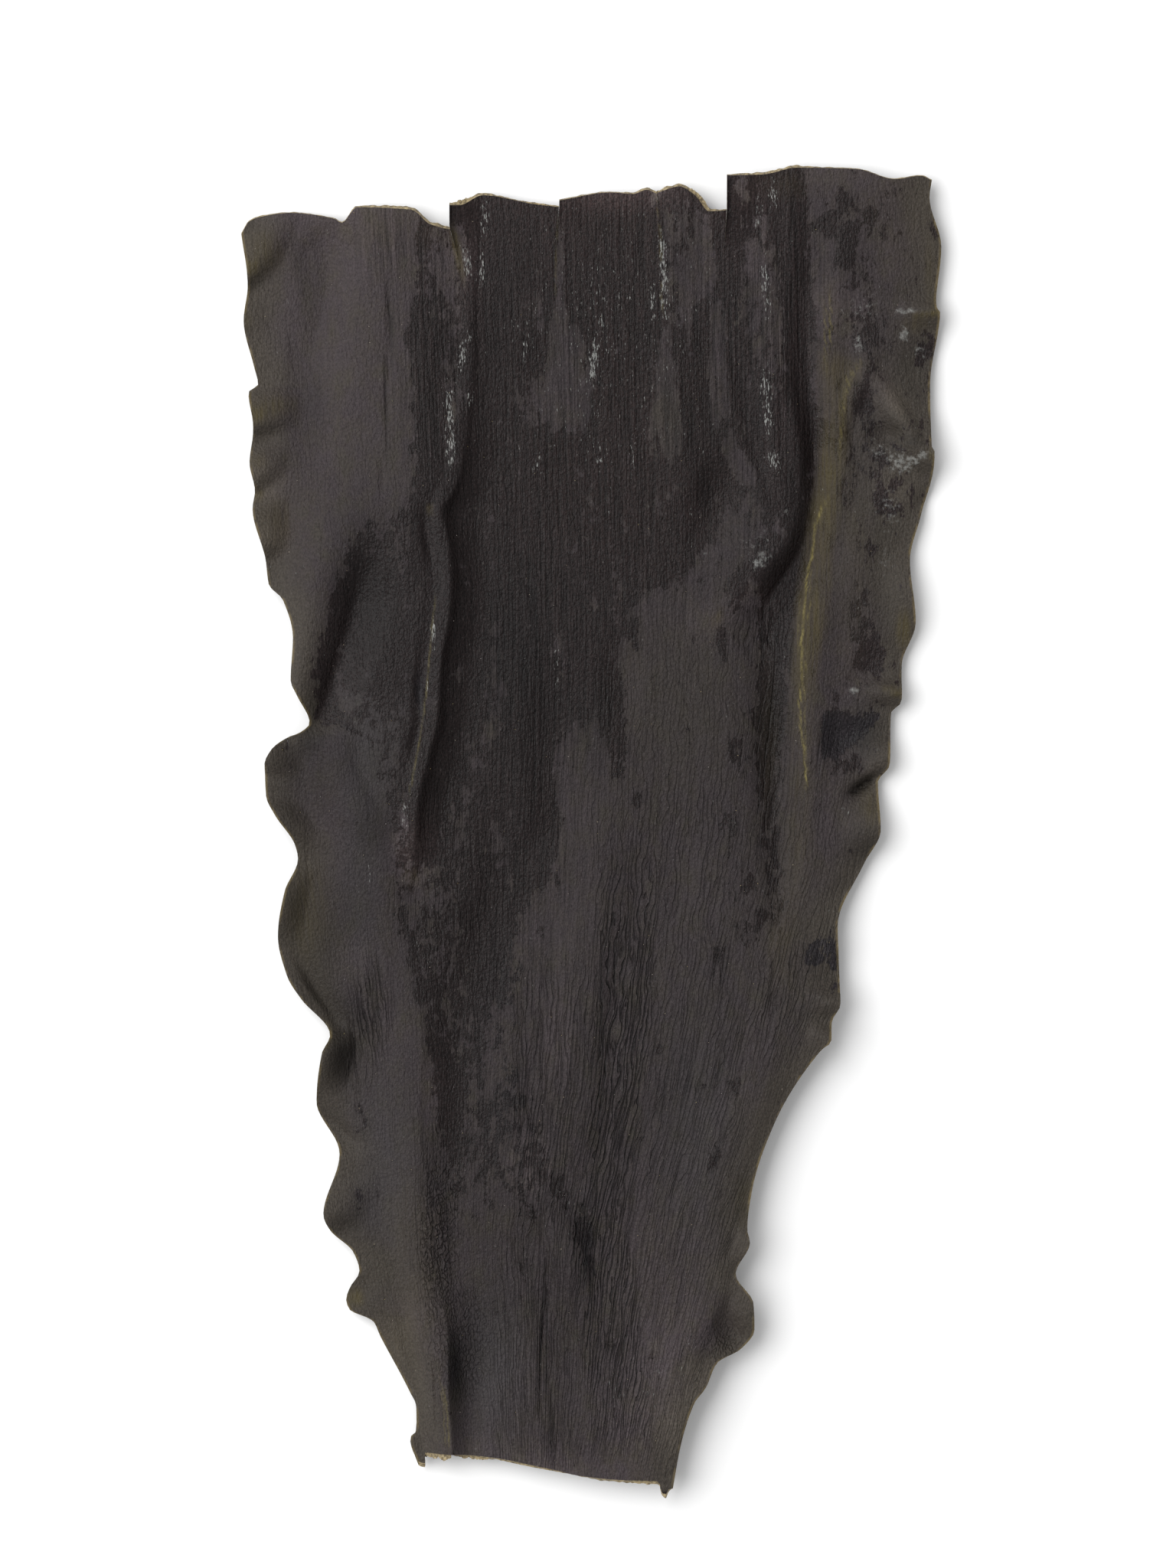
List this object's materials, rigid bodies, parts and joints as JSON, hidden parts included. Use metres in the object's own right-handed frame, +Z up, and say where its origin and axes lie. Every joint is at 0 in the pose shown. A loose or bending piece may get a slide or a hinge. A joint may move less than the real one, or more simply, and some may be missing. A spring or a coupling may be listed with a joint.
{
  "type": "dried kelp sheet",
  "caption": "Flat dried kelp blade with frilled side margins, long folds, short tears at the top end and a broken base, lying on its underside.",
  "frame": {"origin": "centre of the blade's outline, on the surface that it lies on", "axes": "+Y along the blade from the broken base to the top end, +Z up out of the shown side, +X to the right when seen from above with the top end away"},
  "size_m": [0.1826, 0.345, 0.0113],
  "materials": {
    "dried_kelp": "satin dark olive-brown dried kelp, leathery and finely wrinkled along its length, thinner and more olive at the margins, pale cream where torn, with white bloom and salt specks"
  },
  "bodies": {
    "root": {"kelp_sheet": "dried_kelp"}
  },
  "joints": []
}
